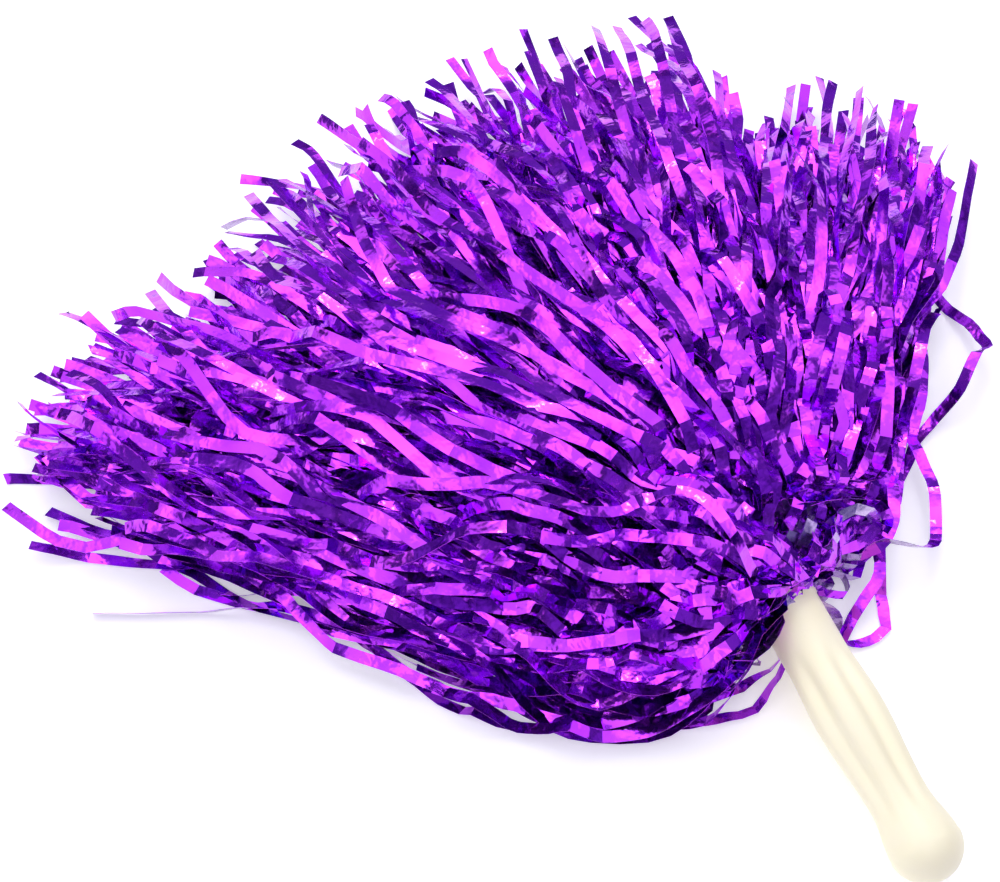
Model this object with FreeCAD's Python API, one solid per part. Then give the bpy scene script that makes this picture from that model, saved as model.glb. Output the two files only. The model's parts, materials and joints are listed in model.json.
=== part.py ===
import FreeCAD, Part

import math
import os

# A hand-held cheer pom pom lying on a table: a hollow blow-moulded grip with soft flutes and a
# bulb end, and a fan of slit metallised film whose uncut headers are packed into its neck.
# Millimetres. While it is modelled, the centre of the mouth is the origin, +X points out of the
# mouth and +Z is up. At the end everything moves so that the origin is on the table, under the
# centre of the whole object.

# ---------------------------------------------------------------- driving dimensions
# grip
GRIP_LENGTH = 111.0       # mouth to the end of the bulb
GRIP_TILT = 5.0           # degrees, mouth raised above the bulb
NECK_RADIUS = 11.75
BELLY_RADIUS = 13.8
WAIST_RADIUS = 11.5
BULB_RADIUS = 13.4
WALL = 1.5
LIP_PROUD = 0.5           # rounded bead round the mouth
LIP_WIDTH = 2.4
FLUTE_COUNT = 6
FLUTE_DEPTH = 1.3
FLUTE_PHASE = 12.0        # degrees, turns the flutes about the grip's axis
POINTS_PER_FLUTE = 4
PINCH_RADIUS = 2.4        # flat left at the end of the bulb
NECK_PLACE = 0.14         # shares of the grip's length at which its outline changes
BELLY_PLACE = 0.42
WAIST_PLACE = 0.74
FLUTES_START = 0.17
FLUTES_FULL = 0.34
FLUTES_FADE = 0.56
FLUTES_END = 0.80
CAVITY_START = 0.20       # where the bore ends and the even wall begins, a share of the length
CAVITY_STEPS = 4
CAVITY_END = [(0.6, 0.8), (1.0, 0.3)]  # past the bulb's centre and wide, shares of its inner radius
RUN_OUT = 2.0             # how far the hollow passes the mouth that it opens
LIP_STEPS = 4             # straight steps that each stretch of the grip is built from
SHAFT_STEPS = 26
SHOULDER_STEPS = 4
BULB_STEPS = 6

# film
SHEETS = 12
FIRST_HEADING = -60.0     # degrees from +X, positive to the left of the grip
HEADING_STEP = 14.0
HEADING_GAP = 1.5         # free angle between neighbouring bunches
LIFT_LIMIT = 30.0         # degrees that each bunch can be lifted, all of them together if need be
REACH = [70.0, 245.0, 250.0, 270.0, 288.0, 292.0, 292.0, 303.0, 297.0, 228.0, 142.0, 86.0]
CROWN_BASE = 38.0         # height of a bunch at its fullest, for no length at all
CROWN_RISE = 0.11         # more height for each millimetre of reach
CROWN_PLACE = 0.34        # where along its reach a bunch is fullest
TIP_BASE = 11.0           # height of the cut ends, for no length at all
TIP_RISE = 0.05
TIP_CHAMFER = 5.0
SHOULDER_DROP = 0.16      # how far the top is below its crown half way there
FALL_SHARE = 0.60         # height left half way from the crown to the tips
ROOT_HALF_HEIGHT = 10.0   # half height of a bunch where it leaves the header
BELLY_DROP = 0.12         # share of its reach in which a bunch comes down to the table

# packing of the headers in the neck
HEADER_DEPTH = 27.0       # how far the folded film reaches into the grip
HEADER_CLEARANCE = 0.10   # film to bore
HEADER_GAP = 2.0          # degrees between neighbouring headers
CREST_ANGLE = 48.0        # degrees off the axis at which the flare is fullest in front
FLARE_RADIUS = 21.4       # ball that holds the uncut band outside the mouth
FLARE_BACK = 2.0          # from the mouth's plane to the back of the flare
HINGE_CLEARANCE = 0.6     # flare to the root of a bunch
FLARE_CLEARANCE = 1.0     # from the mouth's plane to where the film turns outwards
FLARE_LIP = 2.2           # thickness of the flare at its rim
BAND_FROM_END = 2.0       # from the inner end of the film to the band
BAND_WIDTH = 6.0
BAND_THICKNESS = 0.6
BAND_CLEARANCE = 0.05
PLUG_TIP_FLAT = 3.0       # from the axis to a flat of the plug, one flat per header
PLUG_HEAD_FLAT = 5.0
PLUG_CLEARANCE = 0.10
PLUG_STANDOUT = 3.0       # head in front of the mouth's plane

# ---------------------------------------------------------------- derived values
BORE_RADIUS = NECK_RADIUS - WALL
PACK_RADIUS = BORE_RADIUS - HEADER_CLEARANCE
BULB_CENTRE = GRIP_LENGTH - BULB_RADIUS
MOUTH_HEIGHT = BULB_RADIUS + BULB_CENTRE * math.sin(math.radians(GRIP_TILT))
ROOT_RADIUS = FLARE_RADIUS + HINGE_CLEARANCE
AXIS_X = FreeCAD.Vector(1, 0, 0)
AXIS_Y = FreeCAD.Vector(0, 1, 0)
AXIS_Z = FreeCAD.Vector(0, 0, 1)
ORIGIN = FreeCAD.Vector(0, 0, 0)


def smooth_step(share):
    """Eases from 0 to 1 as share goes from 0 to 1."""
    share = min(max(share, 0.0), 1.0)
    return share * share * (3.0 - 2.0 * share)


def between(value, start, end):
    return smooth_step((value - start) / (end - start))


def turned(points):
    """Turns a closed outline of (along, radius) points about the grip's axis."""
    corners = [FreeCAD.Vector(along, radius, 0) for along, radius in points]
    face = Part.Face(Part.makePolygon(corners + corners[:1]))
    return face.revolve(ORIGIN, AXIS_X, 360)


# ---------------------------------------------------------------- grip
def grip_radius(depth):
    """Outer radius of the grip without bead and flutes, from the mouth to the bulb's centre."""
    neck_end = NECK_PLACE * GRIP_LENGTH
    belly = BELLY_PLACE * GRIP_LENGTH
    waist = WAIST_PLACE * GRIP_LENGTH
    if depth < belly:
        swell = between(depth, neck_end, belly)
        return NECK_RADIUS + (BELLY_RADIUS - NECK_RADIUS) * swell
    if depth < waist:
        return BELLY_RADIUS + (WAIST_RADIUS - BELLY_RADIUS) * between(depth, belly, waist)
    return WAIST_RADIUS + (BULB_RADIUS - WAIST_RADIUS) * between(depth, waist, BULB_CENTRE)


def flute_depth(depth):
    """The flutes fade in behind the neck and fade out before the bulb."""
    fade_in = between(depth, FLUTES_START * GRIP_LENGTH, FLUTES_FULL * GRIP_LENGTH)
    fade_out = 1.0 - between(depth, FLUTES_FADE * GRIP_LENGTH, FLUTES_END * GRIP_LENGTH)
    return FLUTE_DEPTH * fade_in * fade_out


def grip_section(depth, radius, flute):
    """A closed smooth outline across the grip, with one soft hollow per flute."""
    count = FLUTE_COUNT * POINTS_PER_FLUTE
    angles = [2.0 * math.pi * i / count for i in range(count + 1)]
    points = []
    for angle in angles[:-1]:
        r = radius - flute * (0.5 - 0.5 * math.cos(FLUTE_COUNT * angle))
        turn = angle + math.radians(FLUTE_PHASE)
        points.append(FreeCAD.Vector(-depth, r * math.cos(turn), r * math.sin(turn)))
    curve = Part.BSplineCurve()
    curve.interpolate(Points=points, PeriodicFlag=True, Parameters=angles)
    return Part.Wire(curve.toShape())


def lip_height(depth):
    """Height of the half-round bead round the mouth, at a depth behind the mouth's plane."""
    across = (depth - LIP_WIDTH / 2) / (LIP_WIDTH / 2)
    return LIP_PROUD * math.sqrt(1.0 - across * across) if abs(across) < 1.0 else 0.0


def evenly(start, end, steps):
    return [start + (end - start) * i / steps for i in range(steps)]


def shaft_depths(first):
    """Stations down the grip, closest together where its outline turns most."""
    waist = WAIST_PLACE * GRIP_LENGTH
    return evenly(first, waist, SHAFT_STEPS) + evenly(waist, BULB_CENTRE, SHOULDER_STEPS)


def bulb_sections(radius):
    """Outlines over the round end; the last is the small flat where the mould pinches it off."""
    latitudes = evenly(0.0, math.acos(PINCH_RADIUS / radius), BULB_STEPS)
    latitudes.append(math.acos(PINCH_RADIUS / radius))
    places = [(BULB_CENTRE + radius * math.sin(a), radius * math.cos(a)) for a in latitudes]
    return [grip_section(depth, around, 0.0) for depth, around in places]


def cavity_outline():
    """The hollow: a straight bore at the neck, then round, a wall inside the floors of the flutes."""
    depths = evenly(CAVITY_START * GRIP_LENGTH, BULB_CENTRE, CAVITY_STEPS) + [BULB_CENTRE]
    outline = [(RUN_OUT, 0.0), (RUN_OUT, BORE_RADIUS)]
    for depth in depths:
        outline.append((-depth, grip_radius(depth) - flute_depth(depth) - WALL))
    end_radius = BULB_RADIUS - WALL
    for past, wide in CAVITY_END:
        outline.append((-BULB_CENTRE - past * end_radius, wide * end_radius))
    outline.append((-BULB_CENTRE - end_radius, 0.0))
    return outline


def handle_shell():
    """A blown skin, ruled between stations that follow the grip's outline, open at the mouth."""
    bead = evenly(0.0, LIP_WIDTH, LIP_STEPS)
    outer = [grip_section(d, grip_radius(d) + lip_height(d), flute_depth(d)) for d in bead]
    for depth in shaft_depths(LIP_WIDTH):
        outer.append(grip_section(depth, grip_radius(depth), flute_depth(depth)))
    outside = Part.makeLoft(outer + bulb_sections(BULB_RADIUS), True, True)
    return outside.cut(turned(cavity_outline()))


# ---------------------------------------------------------------- wedges shared by all the film
def sector(half_angle, length):
    """A wedge about the Z axis that opens along +X, tall enough for anything in it."""
    half_width = length * math.tan(math.radians(half_angle))
    corners = [ORIGIN, FreeCAD.Vector(length, -half_width, 0), FreeCAD.Vector(length, half_width, 0)]
    wedge = Part.Face(Part.makePolygon(corners + corners[:1])).extrude(AXIS_Z * 2 * length)
    wedge.translate(-AXIS_Z * length)
    return wedge


def slab(outline, half_width):
    """A flat outline of (out, up) points, made solid to both sides of the XZ plane."""
    corners = [FreeCAD.Vector(out, -half_width, up) for out, up in outline]
    return Part.Face(Part.makePolygon(corners + corners[:1])).extrude(AXIS_Y * 2 * half_width)


# ---------------------------------------------------------------- what is packed in the neck
def plug_section(along, flat):
    """A regular outline across the axis, with a corner between each pair of headers."""
    step = 2.0 * math.pi / SHEETS
    corner = flat / math.cos(step / 2)
    turns = [step * i for i in range(SHEETS)]
    points = [FreeCAD.Vector(along, corner * math.sin(turn), corner * math.cos(turn)) for turn in turns]
    return Part.makePolygon(points + points[:1])


def wedge_plug():
    """A tapered core pushed in last, which spreads the headers against the bore."""
    tip = plug_section(-HEADER_DEPTH, PLUG_TIP_FLAT)
    head = plug_section(PLUG_STANDOUT, PLUG_HEAD_FLAT)
    return Part.makeLoft([tip, head], True, True)


def binding_band():
    """A flat band round the tails of all the headers, which bundles them while they are pushed in."""
    start = -HEADER_DEPTH + BAND_FROM_END
    end = start + BAND_WIDTH
    inner = PACK_RADIUS - BAND_THICKNESS
    return turned([(start, inner), (end, inner), (end, PACK_RADIUS), (start, PACK_RADIUS)])


def header_outline(half_angle):
    """Half section of a header through its middle: straight in the neck, a trumpet in front of it."""
    chord = math.cos(math.radians(half_angle))
    tail_end = -HEADER_DEPTH
    tail_radius = PACK_RADIUS - BAND_THICKNESS - BAND_CLEARANCE
    step = tail_end + BAND_FROM_END + BAND_WIDTH + BAND_CLEARANCE
    rim = FLARE_BACK + FLARE_LIP
    rim_radius = math.sqrt(FLARE_RADIUS ** 2 - rim ** 2)
    crest = math.radians(CREST_ANGLE)
    return [
        (tail_end, tail_radius * chord),
        (step, tail_radius * chord),
        (step, PACK_RADIUS * chord),
        (FLARE_CLEARANCE, PACK_RADIUS * chord),
        (rim, rim_radius * chord),
        (FLARE_RADIUS * math.cos(crest), FLARE_RADIUS * math.sin(crest) * chord),
        (PLUG_STANDOUT, PLUG_HEAD_FLAT + PLUG_CLEARANCE),
        (tail_end, PLUG_TIP_FLAT + PLUG_CLEARANCE),
    ]


def film_header(index):
    """One sheet's uncut band, folded flat between the plug and the bore, with a notch for the band."""
    step = 360.0 / SHEETS
    half_angle = (step - HEADER_GAP) / 2
    own = sector(half_angle, HEADER_DEPTH + FLARE_RADIUS)
    own.rotate(ORIGIN, AXIS_Y, -90)
    header = slab(header_outline(half_angle), FLARE_RADIUS).common(own)
    header.rotate(ORIGIN, AXIS_X, -(index + 0.5) * step)
    return header


# ---------------------------------------------------------------- loose film outside the mouth
def streamers(index):
    """The slit part of one sheet: a bunch that swells, lies down on the table and thins to its tips.

    Lifting a bunch brings it nearer the upright through the mouth, where the bunches are closest,
    so its upper half is also narrowed to what its own sector leaves it at the end of the lift.
    """
    reach = REACH[index]
    floor = -MOUTH_HEIGHT
    crown = floor + CROWN_BASE + CROWN_RISE * reach
    tip = floor + TIP_BASE + TIP_RISE * reach
    crown_at = ROOT_RADIUS + CROWN_PLACE * (reach - ROOT_RADIUS)
    shoulder_at = (ROOT_RADIUS + crown_at) / 2
    fall_at = (crown_at + reach) / 2
    outline = [
        (ROOT_RADIUS, ROOT_HALF_HEIGHT),
        (shoulder_at, crown - SHOULDER_DROP * (crown - ROOT_HALF_HEIGHT)),
        (crown_at, crown),
        (fall_at, tip + FALL_SHARE * (crown - tip)),
        (reach - TIP_CHAMFER, tip),
        (reach, tip - TIP_CHAMFER),
        (reach, floor),
        (ROOT_RADIUS + BELLY_DROP * reach, floor),
        (ROOT_RADIUS, -ROOT_HALF_HEIGHT),
    ]
    own = sector((HEADING_STEP - HEADING_GAP) / 2, 2 * reach)
    own_when_lifted = own.copy()
    own_when_lifted.rotate(ORIGIN, AXIS_Y, LIFT_LIMIT)
    bunch = slab(outline, reach).common(own).common(own_when_lifted)
    bunch.rotate(ORIGIN, AXIS_Z, FIRST_HEADING + HEADING_STEP * index)
    return bunch


# ---------------------------------------------------------------- assembly
def tilted(shape):
    """Turns a piece of the grip about the mouth, so that the bulb drops to the table."""
    piece = shape.copy()
    piece.rotate(ORIGIN, AXIS_Y, -GRIP_TILT)
    return piece


def assembly():
    pieces = {
        "handle_shell": tilted(handle_shell()),
        "wedge_plug": tilted(wedge_plug()),
        "binding_band": tilted(binding_band()),
    }
    for i in range(SHEETS):
        pieces["film_header_%02d" % (i + 1)] = tilted(film_header(i))
        pieces["streamers_%02d" % (i + 1)] = streamers(i)
    return pieces


def placement_shift(pieces):
    """From the centre of the mouth to the origin on the table, under the object's centre."""
    box = Part.makeCompound(list(pieces.values())).optimalBoundingBox(False, False)
    return FreeCAD.Vector(-box.Center.x, -box.Center.y, -box.ZMin)


PIECES = assembly()
SHIFT = placement_shift(PIECES)
os.makedirs("parts", exist_ok=True)
for name, piece in PIECES.items():
    piece.translate(SHIFT)
    piece.exportStep("parts/%s.step" % name)
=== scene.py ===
# %% [markdown]
# # A cheer pom pom in metallised film
# The CAD model gives the places: the grip's mouth, the heading and reach of every bunch of film.
# This script loads it and builds what it only blocks out: a smooth blown grip, and about 1,750
# strips of slit film. First the frame, because the places below come from it.

# %% Frame
import json
import math

import bmesh
import bpy
import numpy as np
from mathutils import Matrix, Vector


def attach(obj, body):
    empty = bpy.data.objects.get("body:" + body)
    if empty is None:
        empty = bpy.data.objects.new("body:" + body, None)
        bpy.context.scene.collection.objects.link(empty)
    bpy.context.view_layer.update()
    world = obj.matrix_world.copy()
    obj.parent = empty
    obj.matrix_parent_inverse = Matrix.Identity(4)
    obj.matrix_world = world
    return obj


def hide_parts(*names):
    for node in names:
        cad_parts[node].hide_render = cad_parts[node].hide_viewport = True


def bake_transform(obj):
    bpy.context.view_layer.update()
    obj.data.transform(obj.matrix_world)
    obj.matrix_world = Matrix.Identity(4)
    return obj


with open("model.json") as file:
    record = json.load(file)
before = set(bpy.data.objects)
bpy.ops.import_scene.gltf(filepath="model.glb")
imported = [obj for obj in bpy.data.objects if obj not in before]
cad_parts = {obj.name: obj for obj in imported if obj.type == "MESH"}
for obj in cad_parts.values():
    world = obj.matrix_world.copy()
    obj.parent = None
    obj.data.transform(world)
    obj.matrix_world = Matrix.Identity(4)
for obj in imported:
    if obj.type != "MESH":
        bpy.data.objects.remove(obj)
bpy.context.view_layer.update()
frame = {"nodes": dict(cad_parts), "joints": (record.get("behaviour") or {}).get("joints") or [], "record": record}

joints = sorted(frame["joints"], key=lambda joint: joint["name"])
mounts = {mount["name"]: mount for mount in frame["record"]["mounts"]}
MOUTH = np.array(joints[0]["pos_m"])
GRIP_AXIS = np.array(mounts["palm_grip"]["axis"])
print("mouth", MOUTH.round(3), "grip axis", GRIP_AXIS.round(3), "bunches", len(joints))

# %% [markdown]
# ## Camera
# The camera comes first, so that every later piece can be judged from it. It stands behind and
# above the grip and looks 60 degrees down, so the fan of film opens away from it. A long lens
# keeps the far tips nearly as large as the grip.

# %% Camera
AIM_FROM_MOUTH = Vector((0.106, 0.063, 0.0))
CAMERA_DISTANCE = 0.734
CAMERA_HEADING = math.radians(-26.0)
CAMERA_PITCH = math.radians(60.0)
camera_data = bpy.data.cameras.new("camera")
camera_data.lens = 69.6
camera_data.sensor_width = 36.0
camera = bpy.data.objects.new("camera", camera_data)
bpy.context.scene.collection.objects.link(camera)
look = Vector((math.cos(CAMERA_HEADING) * math.cos(CAMERA_PITCH),
               math.sin(CAMERA_HEADING) * math.cos(CAMERA_PITCH),
               -math.sin(CAMERA_PITCH)))
camera.location = Vector(MOUTH) + AIM_FROM_MOUTH - look * CAMERA_DISTANCE
camera.rotation_euler = look.to_track_quat("-Z", "Y").to_euler()
bpy.context.scene.camera = camera
print("camera at", [round(v, 3) for v in camera.location])

# %% [markdown]
# ## Shader maths as plain sums
# Node trees are easier to read as expressions. A small class wraps a socket, and adding,
# multiplying or subtracting wrapped sockets adds the Math nodes that do it. Everything that
# isn't arithmetic comes from one method, which sets a node's options first and its inputs after.

# %% Sockets and nodes
class Wire:
    def __init__(self, tree, socket):
        self.tree = tree
        self.socket = socket

    def _math(self, operation, first, second):
        node = self.tree.nodes.new("ShaderNodeMath")
        node.operation = operation
        for slot, value in zip(node.inputs, (first, second)):
            if isinstance(value, Wire):
                self.tree.links.new(value.socket, slot)
            else:
                slot.default_value = value
        return Wire(self.tree, node.outputs[0])

    def __add__(self, other):
        return self._math("ADD", self, other)

    def __radd__(self, other):
        return self._math("ADD", other, self)

    def __sub__(self, other):
        return self._math("SUBTRACT", self, other)

    def __mul__(self, other):
        return self._math("MULTIPLY", self, other)

    def __rmul__(self, other):
        return self._math("MULTIPLY", other, self)


class Nodes:
    """A node tree, and one method that adds a node: its type, its settings, then its inputs."""

    def __init__(self, tree):
        self.tree = tree

    def node(self, kind, settings=None, output=0, sockets=(), **inputs):
        made = self.tree.nodes.new(kind)
        for key, value in (settings or {}).items():
            if key == "stops":
                ramp = made.color_ramp.elements
                for element, (place, colour) in zip(ramp, value):
                    element.position = place
                    element.color = colour
            else:
                setattr(made, key, value)
        for key, value in list(enumerate(sockets)) + list(inputs.items()):
            slot = made.inputs[key.replace("_", " ") if isinstance(key, str) else key]
            if isinstance(value, Wire):
                self.tree.links.new(value.socket, slot)
            else:
                slot.default_value = value
        return Wire(self.tree, made.outputs[output]) if made.outputs else None

    def blended(self, noise, low, high):
        """A colour that goes from one stop to the other with a noise."""
        return self.node("ShaderNodeValToRGB", {"stops": [low, high]}, Fac=noise)


class Finish(Nodes):
    """A material with a Principled shader, and the nodes that feed it."""

    def __init__(self, name, **constants):
        self.material = bpy.data.materials.new(name)
        self.material.use_nodes = True
        super().__init__(self.material.node_tree)
        self.shader = self.tree.nodes["Principled BSDF"]
        self.place = self.node("ShaderNodeTexCoord", output="Object")
        for socket, value in constants.items():
            self.shader.inputs[socket.replace("_", " ")].default_value = value

    def noise(self, **inputs):
        return self.node("ShaderNodeTexNoise", Vector=self.place, **inputs)

    def feed(self, socket, wire):
        self.tree.links.new(wire.socket, self.shader.inputs[socket])


print("operators and finishes ready")

# %% [markdown]
# ## Film finish
# The film is polyester with a mirror of aluminium under a purple lacquer. Light that bounces once
# comes back pink-violet, and light caught between strips bounces again and again and turns a deep
# blue-violet, so one metal colour gives the whole range. The back of the film has no lacquer and
# looks silvery lavender. Fine crumpling is a bump, too small to be worth geometry.

# %% Film finish
def film_finish(name, colour, second_colour, roughness):
    film = Finish(name, Metallic=1.0)
    cloud = film.noise(Scale=60.0, Detail=2.0)
    film.feed("Base Color", film.blended(cloud, (0.35, colour), (0.65, second_colour)))
    rub = film.noise(Scale=420.0, Detail=3.0)
    film.feed("Roughness", roughness + 0.10 * rub)
    crumple = film.noise(Scale=170.0, Detail=2.0, Roughness=0.5)
    slack = film.noise(Scale=42.0, Detail=0.0)
    film.feed("Normal", film.node("ShaderNodeBump", Height=slack + 0.07 * crumple, Strength=1.0,
                                  Distance=0.0075))
    return film.material


FILM = film_finish("film_lacquer", (0.50, 0.040, 0.95, 1.0), (0.60, 0.065, 0.93, 1.0), 0.10)
FILM_BACK = film_finish("film_back", (0.50, 0.36, 0.66, 1.0), (0.60, 0.48, 0.74, 1.0), 0.22)
print("film:", FILM.name, "and", FILM_BACK.name)

# %% [markdown]
# ## One bunch of film
# A real bunch is a sheet: strips are slit almost to one edge, and the uncut band is folded into
# the neck. It could be modelled strip by strip, but one grid with its slits opened by
# `split_edges` is the same thing as the real sheet, and keeps the uncut band in one piece.
# The sheet is then laid out: neighbouring strips travel together in locks, which leave the mouth
# side by side, share their creases near it, and wander apart further out.

# %% Sizes of the film
STRIP_WIDTH = 0.0045
NECK_START = 0.014        # how far inside the mouth the visible film begins
UNCUT = 0.016             # uncut band outside the mouth
ROWS = 62                 # rows of facets along a strip
NECK_ROWS = 2
FILM_GAUGE = 0.00012
FLARE = 0.0200            # radius of the ball in which the band turns outwards
SPREAD_END = 0.070        # distance at which a lock has come down to its own layer
FLOOR_CLEAR = 0.0006
FULL_REACH = 0.200        # bunches that reach further than this are full ones
OUTLINE_END = math.radians(60.0)  # full bunches up to this heading make the fan's outline
LONGEST = 0.345           # a strip from inside the neck to its cut end
SOFT_CEILING = 0.064      # stray strips are pressed down above this height
HEADROOM = 0.013          # and never come higher than this above it
LOWEST_CROWN = 0.062      # height of the pile over even the shortest bunch
TIP_HEIGHT = 0.024        # height of the pile at its cut ends
FULLEST = 0.34            # share of the reach at which the pile is highest
LOWEST_LIFT = -50.0       # degrees in which the lowest and the highest lock leave the mouth
HIGHEST_LIFT = 98.0


class Bunch:
    """What the CAD says about one bunch: its heading from the mouth and how far it reaches."""

    def __init__(self, joint):
        self.number = joint["name"][-2:]
        self.body = joint["child"]
        self.node = "streamers_" + self.number
        self.heading = math.atan2(joint["axis"][0], -joint["axis"][1])
        mesh = frame["nodes"][self.node].data
        points = np.array([v.co for v in mesh.vertices]) - MOUTH
        self.reach = float(np.hypot(points[:, 0], points[:, 1]).max())
        self.crown = float(points[:, 2].max() + MOUTH[2])


bunches = [Bunch(joint) for joint in joints]
long_ones = [b for b in bunches if b.reach > FULL_REACH and b.heading < OUTLINE_END]
for b in bunches:
    print(b.number, round(math.degrees(b.heading)), round(b.reach, 3), round(b.crown, 3))

# %% [markdown]
# ## Lines and creases
# Every strip follows a line, so a few plain tools come first: an easing curve, a random crease
# profile, a smooth curve through the turn at the mouth, and a way to read any of them at a given
# length. A crease profile is straight between random places, because film folds in flat facets.

# %% Tools for lines
def eased(value, start, end):
    """Rises from 0 at the start to 1 at the end, level at both."""
    share = np.clip((value - start) / (end - start), 0.0, 1.0)
    return share * share * (3.0 - 2.0 * share)


def wander(rng, places, spacing, amount, pull=0.5):
    """A crease profile: straight between random places, always drawn back towards zero."""
    stops = [0.0]
    heights = [0.0]
    while stops[-1] < places.max() + spacing:
        step = spacing * rng.uniform(0.6, 1.5)
        slope = amount * rng.normal() - pull * heights[-1] / step
        stops.append(stops[-1] + step)
        heights.append(heights[-1] + slope * step)
    return np.interp(places, stops, heights)


def bezier(a, b, c, d, steps):
    """Places on a smooth curve from a to d that leaves towards b and arrives from c."""
    t = np.linspace(0.0, 1.0, steps, endpoint=False)[:, None]
    return a * (1 - t) ** 3 + 3 * b * t * (1 - t) ** 2 + 3 * c * t * t * (1 - t) + d * t ** 3


def direction(heading, lift):
    level = math.cos(lift)
    return np.array([level * math.cos(heading), level * math.sin(heading), math.sin(lift)])


def radial(wrap):
    """The direction from the grip's axis at an angle about it."""
    return np.array([-GRIP_AXIS[2] * np.sin(wrap), np.cos(wrap), np.sin(wrap)])


def along(line):
    """Length along a line at each of its places."""
    steps = np.linalg.norm(np.diff(line, axis=0), axis=1)
    return np.concatenate([[0.0], np.cumsum(steps)])


def at(places, marks, values):
    """Vectors known at the marks, read at the places."""
    return np.stack([np.interp(places, marks, values[:, k]) for k in range(3)], 1)


def unit(vectors):
    return vectors / np.maximum(np.linalg.norm(vectors, axis=-1, keepdims=True), 1e-9)


def turned(vectors, axes, angles):
    """Each vector turned about its own axis by its own angle."""
    c = np.cos(angles)[:, None]
    s = np.sin(angles)[:, None]
    return vectors * c + np.cross(axes, vectors) * s


print("a crease profile:", wander(np.random.default_rng(1), np.linspace(0.0, 0.1, 4), 0.02, 0.2).round(4))

# %% [markdown]
# ## The way of one lock
# Inside the neck a lock lies coiled against the bore. It leaves the mouth up, down or sideways
# according to its layer, comes down to its own height in the pile, and swings round until it runs
# along the fan. One lock is special: it leaves low over the mouth and shows its uncut band, so the
# locks about it leave low too. A few strips stray beside the grip and are given the places they pass.

# %% The way of one lock
FLAP_BUNCH = "04"         # its topmost lock shows its uncut band above the mouth
FLAP_HEADING = next(b for b in bunches if b.number == FLAP_BUNCH).heading + math.radians(2.0)
FLAP_LIFT = math.radians(34.0)
FLAP_ROOM = math.radians(48.0)  # locks whose heading is nearer to the flap's than this leave low
FLAP_PATH = [(0.030, -0.0085, 0.0135), (0.045, -0.012, 0.0165), (0.066, -0.017, 0.028),
             (0.100, -0.026, 0.040), (0.150, -0.040, 0.042), (0.200, -0.055, 0.034),
             (0.255, -0.072, 0.016)]
UNDER_FLAP_LIFT = 26.0
FLAP_UNCUT = 0.034        # uncut band of the flap outside the mouth, and its rows of facets
FLAP_ROWS = 7
FAN_LEFT = math.radians(47.0)
FAN_RIGHT = math.radians(-41.0)
LEFT_SWING = 0.095        # distance at which a strip has swung half way round to its final heading
RIGHT_SWING = 0.068
CORE_RADIUS = 0.0062      # radius at which a lock straight ahead is packed in the neck
CORE_SPREAD = 0.0034      # how much further out one that leaves sideways lies
FAR_PLACES = 90


def outline_reach(heading):
    """How far the fan reaches in a heading, smoothly from one long bunch to the next."""
    return np.interp(heading, [b.heading for b in long_ones], [b.reach for b in long_ones])


def heading_at(distance, start, final):
    """Strips that leave the mouth sideways swing round to run along the edge of the fan."""
    swing = LEFT_SWING if final > 0.0 else RIGHT_SWING
    return final + (start - final) / (1.0 + (distance / swing) ** 2.2)


def pile_top(distance, heading, crown):
    """Height of the pile: steep beside the mouth, fullest a third of the way out, then falling."""
    share = distance / outline_reach(heading)
    rise = eased(share, -0.15, FULLEST)
    fall = np.clip((share - FULLEST) / (1.0 - FULLEST), 0.0, 1.1) ** 1.35
    right_edge = eased(heading, FAN_RIGHT - 0.10, FAN_RIGHT + 0.14)
    left_edge = eased(-heading, -FAN_LEFT - 0.16, -FAN_LEFT + 0.10)
    fullness = 0.55 + 0.45 * right_edge * left_edge
    return fullness * (crown * rise * (1 - fall) + TIP_HEIGHT * fall)


def lock_line(rng, heading, layer, crown, lift, through=None):
    """Centre line of one lock from inside the neck to its end, and how it is coiled in the neck."""
    under_flap = abs(heading - FLAP_HEADING) < FLAP_ROOM
    highest = UNDER_FLAP_LIFT if under_flap else HIGHEST_LIFT
    lift = math.radians(LOWEST_LIFT + (highest - LOWEST_LIFT) * layer) if lift is None else lift
    out = direction(heading, lift)
    around = math.hypot(out[1], out[2])
    coil = CORE_RADIUS + CORE_SPREAD * min(1.0, around * rng.uniform(0.9, 1.2))
    wrap = math.atan2(out[2], out[1])
    packed = coil * radial(wrap)
    neck = packed - NECK_START * GRIP_AXIS
    ball = FLARE * out * rng.uniform(0.85, 1.0)
    turn = packed + 0.0030 * GRIP_AXIS
    final = heading + rng.normal() * 0.045
    if heading > FAN_LEFT:
        final = FAN_LEFT + rng.uniform(-0.14, 0.02)
    if heading < FAN_RIGHT:
        final = FAN_RIGHT + rng.uniform(-0.04, 0.10)
    far = np.linspace(SPREAD_END, outline_reach(final), FAR_PLACES)
    sway = wander(rng, far - SPREAD_END, 0.055, 0.09, 0.35)
    headings = heading_at(far, heading, final) + sway * 7.0
    height = pile_top(far, headings, crown) * layer + 0.002
    height = height + wander(rng, far - SPREAD_END, 0.045, 0.06, 0.5)
    height = np.maximum(height, 0.0012) - MOUTH[2]
    outer = np.stack([far * np.cos(headings), far * np.sin(headings), height], 1)
    if through:
        stops = np.array(through)
        outer = at(np.linspace(0.0, along(stops)[-1], FAR_PLACES), along(stops), stops)
    tangent = (outer[1] - outer[0]) / np.linalg.norm(outer[1] - outer[0])
    first = bezier(neck, neck + 0.008 * GRIP_AXIS, turn, ball, 24)
    second = bezier(ball, ball + 0.020 * out, outer[0] - 0.022 * tangent, outer[0], 40)
    line = np.concatenate([first, second, outer])
    return line, wrap, coil


print("fan from", round(math.degrees(FAN_RIGHT)), "to", round(math.degrees(FAN_LEFT)), "degrees")

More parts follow.
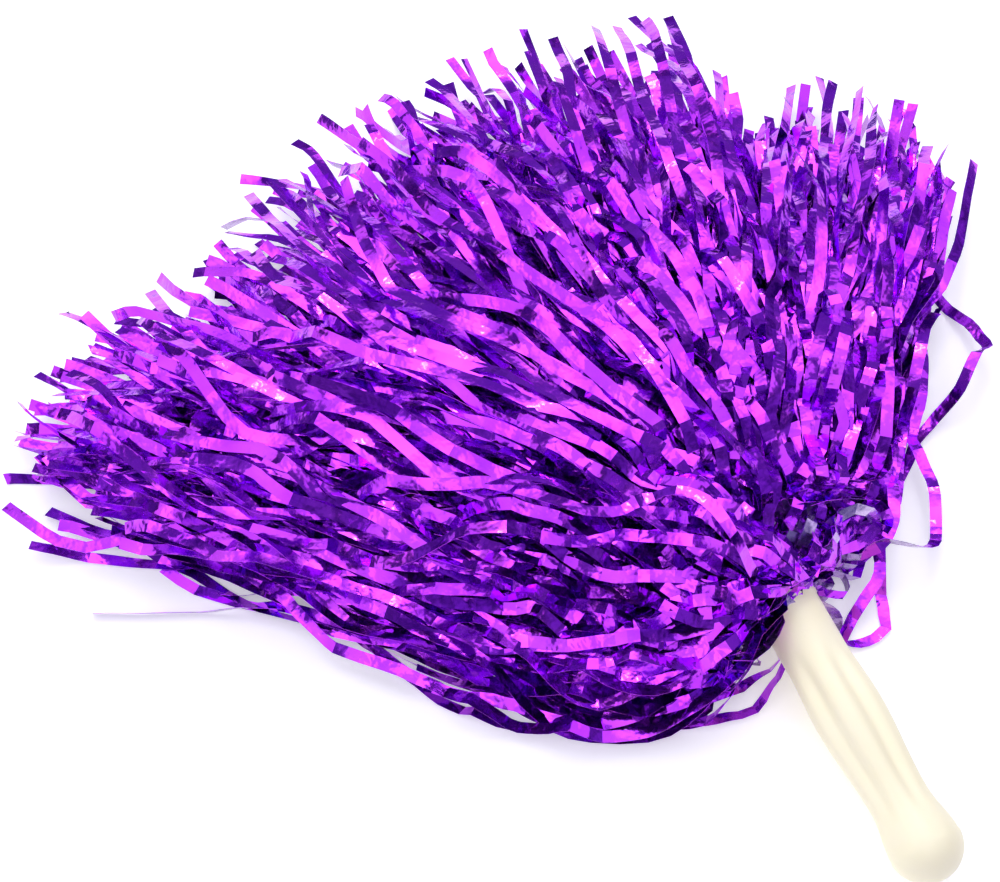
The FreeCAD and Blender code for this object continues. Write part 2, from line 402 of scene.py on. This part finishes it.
# %% [markdown]
# ## Strips of one lock
# The strips of a lock start side by side, bent round the bore, and flatten out past the mouth.
# Near it they share their creases, like pages of one sheet. Further out each has its own folds,
# twist and length, and now and then one strays. What rises too high is pressed down softly, and
# nothing goes through the table.

# %% Strips of one lock
CUT_SHARE = 0.36          # the shortest strip lacks this share of its lock's length
CREASE_SPACING = 0.010
FLAT_BY = 0.075           # strips lie level from here on
FOLDS_END = (0.10, 0.17)  # shared creases fade out between these places
STRAY_SHARE = 0.025       # share of the strips that wander off on their own
STRAY_WANDER = 2.3
PLACED_WANDER = 0.45      # strips on a given path keep closer to it
MOST_ROLL = 1.2           # radians of twist


def lay_lock(rng, heading, layer, crown, strips, share=1.0, lift=None, band=UNCUT, through=None):
    """Both edges of every strip in one lock, as (strip, edge, row, xyz) from the mouth."""
    line, wrap, coil = lock_line(rng, heading, layer, crown, lift, through)
    marks = along(line)
    whole = marks[-1]
    band_end = NECK_START + band
    edges = np.zeros((strips, 2, ROWS + 1, 3))
    shared_up = rng.integers(1 << 30)
    shared_across = rng.integers(1 << 30)
    calm = 0.3 if band > UNCUT else 1.0
    crease_depth = rng.uniform(0.26, 0.56) * calm
    for j in range(strips):
        cut = rng.random() ** 1.1 * (0.0 if through else CUT_SHARE)
        length = whole * share * (1.0 - cut)
        s = np.concatenate([
            np.linspace(0.0, NECK_START, NECK_ROWS, endpoint=False),
            np.linspace(NECK_START, length, ROWS + 1 - NECK_ROWS),
        ])
        centre = at(s, marks, line)
        tangent = unit(np.gradient(centre, axis=0))
        level = unit(np.cross(tangent, np.array([0.0, 0.0, 1.0])))
        turn = (j - (strips - 1) / 2) * STRIP_WIDTH / coil
        side = radial(wrap + turn - math.pi / 2)
        sign = 1.0 if np.dot(level[-1], side) >= 0 else -1.0
        turn = -sign * turn
        side = sign * radial(wrap + turn - math.pi / 2)
        if band > UNCUT:
            mix = eased(s, NECK_START, NECK_START + 0.018)[:, None]
        else:
            mix = eased(s, band_end - 0.004, FLAT_BY)[:, None]
        wide = unit(side * (1 - mix) + level * mix)
        wide = unit(wide - tangent * np.sum(wide * tangent, 1, keepdims=True))
        up = np.cross(wide, tangent)
        uncoiled = eased(s, NECK_START, NECK_START + 0.022)
        coiled = coil * (radial(wrap + turn) - radial(wrap))
        free = eased(s, band_end, band_end + 0.030)
        near = 1.0 - eased(s, *FOLDS_END)
        fold_up = wander(np.random.default_rng(shared_up), s, CREASE_SPACING, crease_depth, 0.8)
        fold_across = wander(np.random.default_rng(shared_across), s, 0.017, 0.10, 0.8)
        wild = STRAY_WANDER if rng.random() < STRAY_SHARE else 1.0
        if through:
            wild = PLACED_WANDER
        own_up = wander(rng, s, 0.026, 0.24, 0.6) * min(wild, 1.6)
        own_across = wander(rng, s, 0.040, 0.12, 0.25) * wild
        open_out = 1.0 + eased(s, 0.060, whole) * rng.uniform(0.3, 2.2)
        offset = (j - (strips - 1) / 2) * STRIP_WIDTH * open_out
        sideways = offset * uncoiled + free * own_across + near * fold_across
        upwards = near * fold_up * eased(s, NECK_START, band_end) + free * own_up
        centre = (centre + coiled * (1.0 - uncoiled)[:, None]
                  + wide * sideways[:, None] + up * upwards[:, None])
        roll = free * (1.0 - 0.6 * near) * wander(rng, s, 0.034, 14.0, 0.4)
        roll = np.clip(roll, -MOST_ROLL, MOST_ROLL)
        tangent = unit(np.gradient(centre, axis=0))
        wide = unit(wide - tangent * np.sum(wide * tangent, 1, keepdims=True))
        wide = turned(wide, tangent, roll)
        high = centre[:, 2] + MOUTH[2] - SOFT_CEILING
        centre[:, 2] -= np.where(high > 0, high - HEADROOM * np.tanh(high / HEADROOM), 0.0)
        floor = FLOOR_CLEAR - MOUTH[2] + np.abs(wide[:, 2]) * STRIP_WIDTH / 2
        centre[:, 2] = np.maximum(centre[:, 2], floor)
        run = along(centre)
        if run[-1] > LONGEST:
            kept = np.linspace(0.0, 1.0, ROWS + 1) * np.interp(LONGEST, run, s) / s[-1]
            kept = np.interp(kept * s[-1], s, np.arange(ROWS + 1.0))
            centre = at(kept, np.arange(ROWS + 1.0), centre)
            wide = unit(at(kept, np.arange(ROWS + 1.0), wide))
        edges[j, 0] = centre - wide * STRIP_WIDTH / 2
        edges[j, 1] = centre + wide * STRIP_WIDTH / 2
    return edges


sample = lay_lock(np.random.default_rng(1), 0.0, 0.5, LOWEST_CROWN, 2)
print("a lock of two strips spans", (sample.max((0, 1, 2)) - sample.min((0, 1, 2))).round(3), "m")

# %% [markdown]
# ## From sheet to bunch
# The grid is made flat, one column for each strip and one row for each facet, and its slits are
# opened. Each face then knows its strip and row from where it lies in the flat sheet, which tells
# where its corners go in the laid-out bunch. Solidify gives the film a thickness, and its inner
# side the unlacquered back.

# %% Building a sheet
def slit_sheet(name, starts):
    """A flat sheet, one unit for each strip and row; each strip's left slit starts at its own row."""
    strips = len(starts)
    flat = bmesh.new()
    bmesh.ops.create_grid(flat, x_segments=strips, y_segments=ROWS, size=0.5)
    bmesh.ops.scale(flat, vec=(strips, ROWS, 1.0), verts=flat.verts)
    bmesh.ops.translate(flat, vec=(strips / 2, ROWS / 2, 0.0), verts=flat.verts)
    slits = []
    for edge in flat.edges:
        a, b = (v.co for v in edge.verts)
        column = round(a.x)
        if abs(a.x - b.x) > 0.5 or column in (0, strips):
            continue
        if min(a.y, b.y) > starts[column] - 0.5:
            slits.append(edge)
    bmesh.ops.split_edges(flat, edges=slits)
    mesh = bpy.data.meshes.new(name)
    flat.to_mesh(mesh)
    flat.free()
    return mesh


def lay_sheet(mesh, edges):
    """Moves a flat sheet's corners to the edges of the laid-out strips."""
    corners = np.zeros(len(mesh.loops), int)
    mesh.loops.foreach_get("vertex_index", corners)
    corners = corners.reshape(-1, 4)
    flat = np.zeros(len(mesh.vertices) * 3)
    mesh.vertices.foreach_get("co", flat)
    flat = flat.reshape(-1, 3)
    middle = flat[corners].mean(1)
    strip = np.floor(middle[:, 0]).astype(int)[:, None]
    right = (flat[corners][:, :, 0] > middle[:, None, 0]).astype(int)
    row = np.rint(flat[corners][:, :, 1]).astype(int)
    place = edges[np.broadcast_to(strip, right.shape), right, row] + MOUTH
    moved = flat.copy()
    moved[corners.reshape(-1)] = place.reshape(-1, 3)
    mesh.vertices.foreach_set("co", moved.astype(np.float32).reshape(-1))
    mesh.update()


tried = slit_sheet("tried", [1, 1])
print("a sheet of two strips:", len(tried.vertices), "corners,", len(tried.polygons), "facets")
bpy.data.meshes.remove(tried)

# %% [markdown]
# ## A bunch from its locks
# A bunch is filled lock by lock, from the lowest layer to the highest in no fixed order. Locks low
# in the pile spread evenly, and those on top gather into a few tufts of unequal length, which
# gives the fan its ragged outline. The first and last bunch also spread outwards beside the grip.
# Each facet is kept flat by making every edge sharper than a few degrees a hard one, and so are
# the cut edges.

# %% A bunch
STRIPS_PER_LOCK = 5
TUFTS = 5
TUFT_SPREAD = 8.0         # degrees either side of the bunch's heading
TUFT_WIDTH = 1.3
BAND_ROWS = 3             # rows of facets in the uncut band outside the mouth
FLAT_FACET = math.radians(9.0)
# strips that stray beside the grip: heading, lift, how many, and the places they pass
LOOPS = {
    "01": [(-100.0, -35.0, 1, [(-0.012, -0.019, -0.019), (-0.007, -0.024, -0.016), (-0.001, -0.038, -0.010),
                               (0.004, -0.041, -0.006), (0.017, -0.039, 0.000), (0.043, -0.053, 0.004),
                               (0.069, -0.082, 0.002), (0.095, -0.111, -0.002)]),
           (-112.0, -48.0, 1, [(-0.014, -0.016, -0.018), (-0.019, -0.033, -0.017), (-0.011, -0.040, -0.012),
                               (0.009, -0.055, -0.002), (0.027, -0.056, 0.004), (0.054, -0.085, 0.000),
                               (0.085, -0.122, -0.004)])],
    "12": [(98.0, -20.0, 3, [(-0.016, 0.019, -0.013), (-0.018, 0.026, -0.018), (-0.013, 0.038, -0.017),
                             (0.001, 0.058, -0.014), (0.027, 0.093, -0.014), (0.067, 0.123, -0.012)]),
           (104.0, -45.0, 2, [(-0.010, 0.030, -0.016), (-0.019, 0.040, -0.019), (-0.018, 0.048, -0.019),
                              (-0.001, 0.075, -0.018), (0.021, 0.104, -0.018), (0.044, 0.126, -0.016)])],
}


def fill(rng, bunch, locks):
    """The edges of every strip of a bunch, and the row at which each strip's left slit starts."""
    layers = (np.arange(locks) + rng.random(locks)) / locks
    rng.shuffle(layers)
    tufts = rng.uniform(-TUFT_SPREAD, TUFT_SPREAD, TUFTS)
    shares = rng.uniform(0.80, 1.04, TUFTS)
    band = [NECK_ROWS + BAND_ROWS]
    laid = []
    for layer in layers:
        tuft = rng.integers(TUFTS)
        if layer < 0.45:
            heading = rng.uniform(-TUFT_SPREAD, TUFT_SPREAD)
        else:
            heading = tufts[tuft] + TUFT_WIDTH * rng.normal()
        if bunch is bunches[-1]:
            heading += rng.uniform(-4.0, 18.0 if layer < 0.6 else 6.0)
        if bunch is bunches[0]:
            heading -= rng.uniform(-4.0, 24.0 if layer < 0.6 else 6.0)
        laid.append(lay_lock(rng, bunch.heading + math.radians(heading), layer,
                             max(bunch.crown, LOWEST_CROWN), STRIPS_PER_LOCK, share=shares[tuft]))
    starts = ([1] + band * (STRIPS_PER_LOCK - 1)) * locks
    if bunch.number == FLAP_BUNCH:
        laid[-1] = lay_lock(rng, FLAP_HEADING, 1.0, bunch.crown, STRIPS_PER_LOCK, lift=FLAP_LIFT,
                            through=FLAP_PATH, band=FLAP_UNCUT)
        starts[1 - STRIPS_PER_LOCK:] = [NECK_ROWS + FLAP_ROWS] * (STRIPS_PER_LOCK - 1)
    for heading, lift, count, through in LOOPS.get(bunch.number, []):
        laid.append(lay_lock(rng, math.radians(heading), 0.5, bunch.crown, count,
                             lift=math.radians(lift), through=through))
        starts.extend([1] + band * (count - 1))
    return np.concatenate(laid), starts


def harden(mesh):
    """Smooth facets with hard creases and hard cut edges."""
    mesh.polygons.foreach_set("use_smooth", [True] * len(mesh.polygons))
    mesh.set_sharp_from_angle(angle=FLAT_FACET)
    sides = np.zeros(len(mesh.loops), int)
    mesh.loops.foreach_get("edge_index", sides)
    sharp = np.zeros(len(mesh.edges), bool)
    crisp = mesh.attributes.get("sharp_edge") or mesh.attributes.new("sharp_edge", "BOOLEAN", "EDGE")
    crisp.data.foreach_get("value", sharp)
    sharp |= np.bincount(sides, minlength=len(sharp)) < 2
    crisp.data.foreach_set("value", sharp)


def make_bunch(bunch, strips, seed):
    edges, starts = fill(np.random.default_rng(seed), bunch, strips // STRIPS_PER_LOCK)
    mesh = slit_sheet("film_" + bunch.number, starts)
    lay_sheet(mesh, edges)
    mesh.materials.append(FILM)
    mesh.materials.append(FILM_BACK)
    harden(mesh)
    piece = bpy.data.objects.new("film_" + bunch.number, mesh)
    bpy.context.scene.collection.objects.link(piece)
    gauge = piece.modifiers.new("gauge", "SOLIDIFY")
    gauge.thickness = FILM_GAUGE
    gauge.offset = 0.0
    gauge.material_offset = 1
    gauge.material_offset_rim = 0
    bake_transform(piece)
    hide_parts(bunch.node, "film_header_" + bunch.number)


print(sum(len(loops) for loops in LOOPS.values()), "groups of strips stray beside the grip")

# %% [markdown]
# ## The twelve bunches
# The long bunches of the fan are full, and the short ones beside the grip have about half as many
# strips. Each has its own seed, so that one can be changed without the others changing too.

# %% The twelve bunches
FULL_BUNCH = 165
SIDE_BUNCH = 85
FIRST_SEED = 410
for index, bunch in enumerate(bunches):
    full = bunch.reach > FULL_REACH
    make_bunch(bunch, FULL_BUNCH if full else SIDE_BUNCH, seed=FIRST_SEED + index)

# %% [markdown]
# ## Grip
# The grip is one blown skin. It could be a lathe shape with hollows cut into it, but flutes this
# soft have no edges to cut, so a ring of vertices is extruded from station to station and each
# new ring is drawn in or out, with the flutes as a gentle wave in its radius. Solidify then gives
# the skin its wall, inwards.

# %% Grip
RING = 96
WALL = 0.0015
FLUTES = 6
FLUTE_DEPTH = 0.0020
FLUTE_RISE = (0.15, 0.34)  # shares of the length over which the flutes run in and out
FLUTE_FALL = (0.60, 0.84)
FLUTE_REST = 0.85         # share of their depth that they lose there
FLUTE_END = 0.88
FLUTE_SHARPNESS = 1.8     # narrows the valleys
BULB_RINGS = 16
LIP_RINGS = 6
FLUTE_PHASE = math.radians(12.0)
LENGTH = 0.111
NECK = (0.14 * LENGTH, 0.01175)   # place behind the mouth, and radius there
BELLY = (0.42 * LENGTH, 0.0138)
WAIST = (0.74 * LENGTH, 0.0115)
BULB = (LENGTH - 0.0134, 0.0134)
LIP_WIDTH = 0.0024
LIP_PROUD = 0.0005
RING_STEP = 0.0020


def grip_radius(depth):
    """Outer radius at a depth behind the mouth: neck, belly, waist and bulb, eased into each other."""
    radius = NECK[1]
    for (start, narrow), (end, wide) in ((NECK, BELLY), (BELLY, WAIST), (WAIST, BULB)):
        if depth > start:
            radius = narrow + (wide - narrow) * float(eased(depth, start, end))
    across = (depth - LIP_WIDTH / 2) / (LIP_WIDTH / 2)
    return radius + (LIP_PROUD * math.sqrt(1 - across * across) if abs(across) < 1 else 0.0)


def flute_at(depth):
    share = depth / LENGTH
    kept = 1.0 - FLUTE_REST * eased(share, *FLUTE_FALL)
    return FLUTE_DEPTH * float(eased(share, *FLUTE_RISE) * kept * (share < FLUTE_END))


def place_ring(verts, turns, depth, radius):
    """Puts a ring of vertices at a depth behind the mouth, drawn in where the flutes are."""
    flute = flute_at(depth)
    for v, angle in zip(verts, turns):
        r = radius - flute * (0.5 - 0.5 * math.cos(FLUTES * angle)) ** FLUTE_SHARPNESS
        v.co = (-depth, r * math.cos(angle + FLUTE_PHASE), r * math.sin(angle + FLUTE_PHASE))


lip = [LIP_WIDTH * step / LIP_RINGS for step in range(LIP_RINGS)]
shaft = list(np.arange(LIP_WIDTH, BULB[0], RING_STEP))
stations = [(depth, grip_radius(depth)) for depth in lip + shaft]
for step in range(BULB_RINGS):
    latitude = step / BULB_RINGS * math.pi / 2
    stations.append((BULB[0] + BULB[1] * math.sin(latitude), BULB[1] * math.cos(latitude)))

skin = bmesh.new()
first = list(bmesh.ops.create_circle(skin, cap_ends=False, radius=1.0, segments=RING)["verts"])
ring_edges = list(skin.edges)
place_ring(first, [math.atan2(v.co.y, v.co.x) for v in first], *stations[0])
for station in stations[1:]:
    made = bmesh.ops.extrude_edge_only(skin, edges=ring_edges)["geom"]
    ring = [g for g in made if isinstance(g, bmesh.types.BMVert)]
    ring_edges = [g for g in made if isinstance(g, bmesh.types.BMEdge)]
    place_ring(ring, [math.atan2(v.co.z, v.co.y) - FLUTE_PHASE for v in ring], *station)
bmesh.ops.contextual_create(skin, geom=ring_edges)
bmesh.ops.recalc_face_normals(skin, faces=skin.faces)
tilt = Matrix.Rotation(-math.asin(GRIP_AXIS[2]), 4, "Y")
bmesh.ops.transform(skin, matrix=Matrix.Translation(Vector(MOUTH)) @ tilt, verts=skin.verts)
grip_mesh = bpy.data.meshes.new("grip")
skin.to_mesh(grip_mesh)
skin.free()
grip_mesh.polygons.foreach_set("use_smooth", [True] * len(grip_mesh.polygons))
grip = bpy.data.objects.new("grip", grip_mesh)
bpy.context.scene.collection.objects.link(grip)
wall = grip.modifiers.new("wall", "SOLIDIFY")
wall.thickness = WALL
wall.offset = -1.0
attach(grip, "handle")
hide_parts("handle_shell")
print("grip", len(stations), "rings")

# %% [markdown]
# ## Grip finish
# Blown polyethylene is milky: light enters a little and comes back warm. The shader's subsurface part
# gives some of this, and a weak warm glow is painted light on top of it: it brightens the grip and
# stands in for light that passes through its thin wall from all sides. A narrow ridge in the bump
# stands for the line where the two halves of the mould met: it lies in a plane through the grip's
# axis. The plug and the band deep in the neck get a plain grey plastic.

# %% Grip finish
SEAM_TURN = math.radians(70.0)
SEAM_HALF_WIDTH = 0.0004
# Painted light: the weak warm emission brightens the grip, standing in for light through its thin wall.
ivory = Finish("ivory_plastic", Subsurface_Weight=0.10, Subsurface_Radius=(0.006, 0.005, 0.003),
               Subsurface_Scale=0.6, Emission_Color=(1.0, 0.94, 0.55, 1.0), Emission_Strength=0.09)
cloud = ivory.noise(Scale=35.0, Detail=3.0)
grain = ivory.noise(Scale=900.0, Detail=2.0)
ivory.feed("Base Color", ivory.blended(
    cloud, (0.30, (0.96, 0.91, 0.60, 1.0)), (0.70, (0.97, 0.93, 0.66, 1.0))))
ivory.feed("Roughness", 0.34 + 0.10 * grain)
x, y, z = (ivory.node("ShaderNodeSeparateXYZ", output=axis, Vector=ivory.place) for axis in range(3))
across = [float(v) for v in radial(SEAM_TURN)]
from_plane = across[0] * x + across[1] * y + across[2] * z - float(np.dot(across, MOUTH))
seam = ivory.node("ShaderNodeMapRange", {"interpolation_type": "SMOOTHSTEP"},
                  Value=from_plane * from_plane, From_Min=0.0, From_Max=SEAM_HALF_WIDTH ** 2,
                  To_Min=1.0, To_Max=0.0)
ivory.feed("Normal", ivory.node("ShaderNodeBump", Height=cloud + 0.1 * grain + 0.35 * seam,
                                Strength=0.35, Distance=0.001))
grip_mesh.materials.append(ivory.material)

plug_finish = Finish("plug_plastic")
speck = plug_finish.noise(Scale=300.0)
plug_finish.feed("Base Color", plug_finish.blended(
    speck, (0.3, (0.60, 0.60, 0.58, 1.0)), (0.7, (0.70, 0.70, 0.67, 1.0))))
plug_finish.feed("Roughness", 0.5 + 0.2 * speck)
for node in ("wedge_plug", "binding_band"):
    for slot in frame["nodes"][node].material_slots:
        slot.material = plug_finish.material
print("finishes:", ivory.material.name, "and", plug_finish.material.name)

# %% [markdown]
# ## Table and light
# A plain pale table under soft light. Mirror film shows nothing but what surrounds it, so lights of
# different sizes lie over each other: the widest makes the middle tone, the smaller ones inside it
# the brighter ones. One behind the camera and one to the side reach the folds near the mouth. A
# tiny one gives the few white glints. Small strong lights alone would leave thin white lines on
# black. Facets that look past the lights see a room of dark and blue-violet patches, and the
# camera sees a pale backdrop.

# %% Table and light
TABLE_HALF = 2.4
PILE = (0.05, 0.02, 0.0)
table_mesh = bpy.data.meshes.new("table")
flat = bmesh.new()
bmesh.ops.create_grid(flat, x_segments=1, y_segments=1, size=TABLE_HALF)
flat.to_mesh(table_mesh)
flat.free()
table = bpy.data.objects.new("table", table_mesh)
bpy.context.scene.collection.objects.link(table)
table_finish = Finish("table", Roughness=0.9, Base_Color=(0.96, 0.96, 0.93, 1.0),
                      Emission_Color=(1.0, 1.0, 1.0, 1.0), Emission_Strength=0.30)
table_mesh.materials.append(table_finish.material)


def soft_light(name, place, aim, size, power):
    """A rectangular lamp at a place, turned to shine on another."""
    data = bpy.data.lights.new(name, "AREA")
    data.shape = "RECTANGLE"
    data.size, data.size_y = size
    data.energy = power
    light = bpy.data.objects.new(name, data)
    light.location = place
    light.rotation_euler = (Vector(aim) - Vector(place)).to_track_quat("-Z", "Y").to_euler()
    bpy.context.scene.collection.objects.link(light)


soft_light("overhead", (0.30, -0.10, 1.6), PILE, (3.0, 3.0), 25.0)
soft_light("key", (0.50, -0.25, 1.5), PILE, (1.5, 1.5), 4.6)
soft_light("core", (0.62, -0.32, 1.4), PILE, (1.0, 1.0), 2.8)
soft_light("behind", (-0.85, 0.35, 1.35), (-0.05, 0.0, 0.0), (0.9, 0.9), 2.4)
soft_light("side", (0.45, 1.30, 0.95), (0.05, 0.08, 0.0), (1.6, 1.2), 7.0)
soft_light("glint", (0.75, -0.45, 1.3), PILE, (0.14, 0.14), 1.4)

world = bpy.data.worlds.new("room")
world.use_nodes = True
room = Nodes(world.node_tree)
room.tree.nodes.remove(room.tree.nodes["Background"])
way = room.node("ShaderNodeTexCoord", output="Generated")
patches = room.node("ShaderNodeTexNoise", Vector=way, Scale=2.2, Detail=1.0)
walls = room.blended(patches, (0.36, (0.03, 0.008, 0.15, 1.0)), (0.66, (0.50, 0.42, 1.0, 1.0)))
surroundings = room.node("ShaderNodeBackground", Color=walls, Strength=0.50)
backdrop = room.node("ShaderNodeBackground", Color=(0.90, 0.90, 0.92, 1.0))
to_camera = room.node("ShaderNodeLightPath", output="Is Camera Ray")
seen = room.node("ShaderNodeMixShader", sockets=(to_camera, surroundings, backdrop))
room.tree.links.new(seen.socket, room.tree.nodes["World Output"].inputs["Surface"])
bpy.context.scene.world = world
bpy.context.scene.view_settings.view_transform = "Standard"
print("lights:", len(bpy.data.lights))
